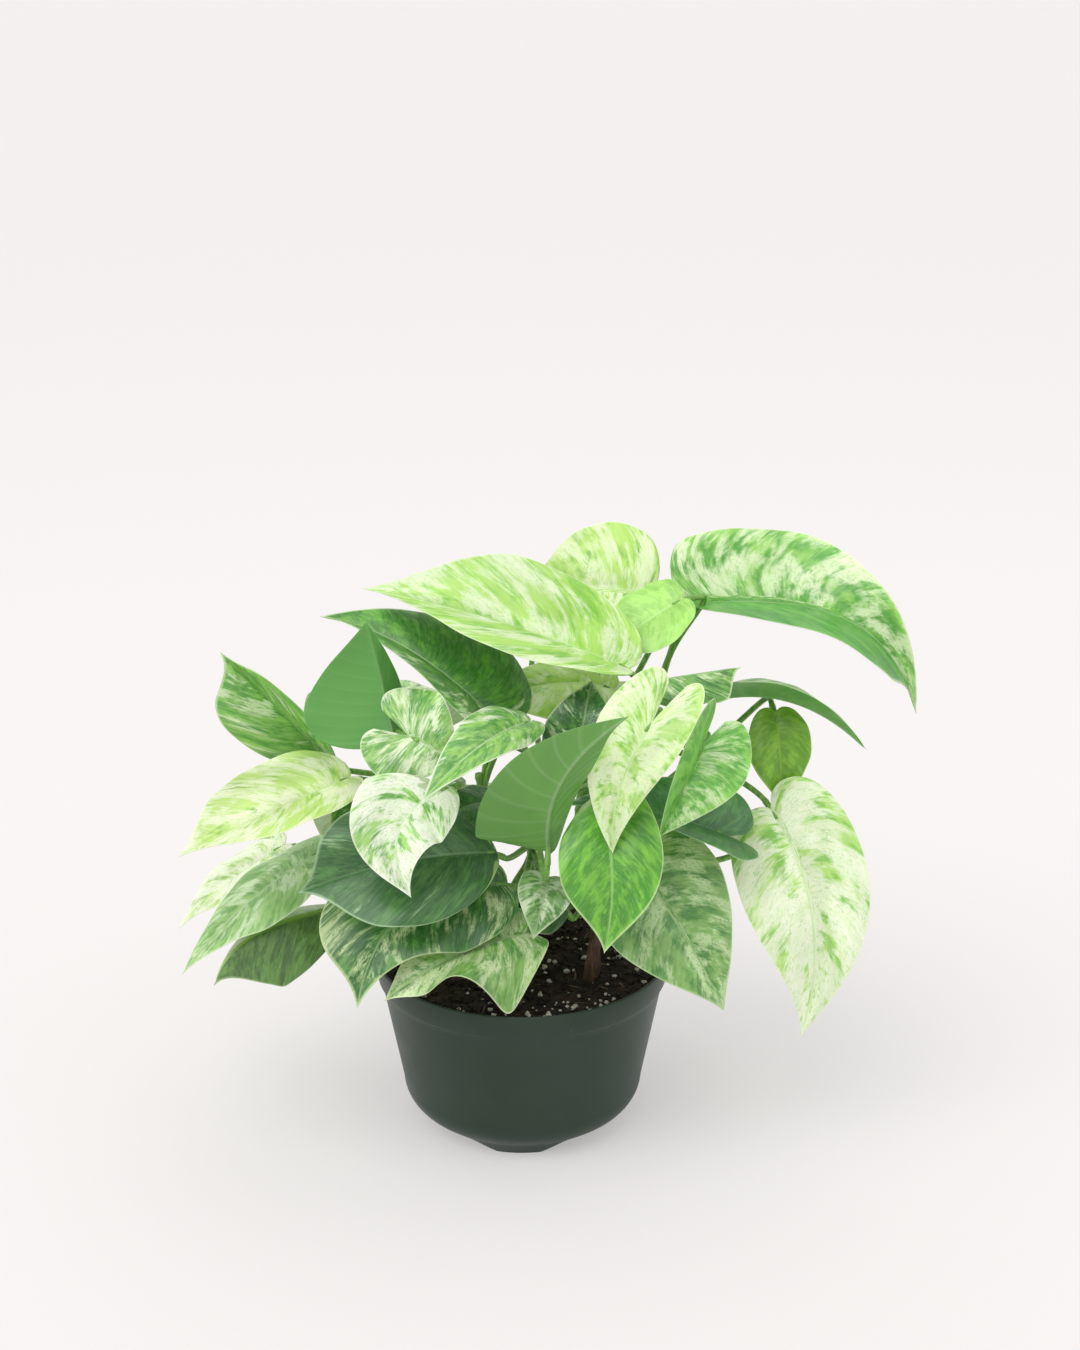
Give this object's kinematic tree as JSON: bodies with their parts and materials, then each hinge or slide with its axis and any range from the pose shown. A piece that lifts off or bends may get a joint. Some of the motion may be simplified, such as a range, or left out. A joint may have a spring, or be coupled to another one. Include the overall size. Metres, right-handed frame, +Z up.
{
  "type": "potted marble queen pothos",
  "caption": "Bushy trailing house plant with heart-shaped leaves marbled in cream and green, standing in a round dark-green nursery pot.",
  "frame": {"origin": "middle of the pot's floor, on the surface that it stands on", "axes": "+Z up along the pot's axis, -Y towards the side that the plant shows best, +X to the right seen from that side"},
  "size_m": [0.3894, 0.2566, 0.3204],
  "materials": {
    "pot": "dark green moulded nursery plastic with a soft sheen",
    "soil": "near-black peat mix with grey-white perlite grains",
    "stems": "smooth green petioles on stems that are brown near the soil",
    "leaves": "waxy leaf, marbled cream, lime and dark green, with a soft gloss"
  },
  "bodies": {
    "root": {"pot": "pot", "soil": "soil", "vine_a": "stems", "vine_b": "stems", "vine_c": "stems", "vine_d": "stems", "vine_e": "stems", "vine_f": "stems", "vine_g": "stems", "vine_h": "stems", "leaf_01": "leaves", "leaf_02": "leaves", "leaf_03": "leaves", "leaf_04": "leaves", "leaf_05": "leaves", "leaf_06": "leaves", "leaf_07": "leaves", "leaf_08": "leaves", "leaf_09": "leaves", "leaf_10": "leaves", "leaf_11": "leaves", "leaf_12": "leaves", "leaf_13": "leaves", "leaf_14": "leaves", "leaf_15": "leaves", "leaf_16": "leaves", "leaf_17": "leaves", "leaf_18": "leaves", "leaf_19": "leaves", "leaf_20": "leaves", "leaf_21": "leaves", "leaf_22": "leaves", "leaf_23": "leaves", "leaf_24": "leaves", "leaf_25": "leaves", "leaf_26": "leaves", "leaf_27": "leaves", "leaf_28": "leaves", "leaf_29": "leaves", "leaf_30": "leaves", "leaf_31": "leaves", "leaf_32": "leaves", "leaf_33": "leaves", "leaf_34": "leaves", "leaf_35": "leaves", "leaf_36": "leaves", "leaf_37": "leaves", "leaf_38": "leaves", "leaf_39": "leaves", "leaf_40": "leaves", "leaf_41": "leaves", "leaf_42": "leaves", "leaf_43": "leaves"}
  },
  "joints": []
}
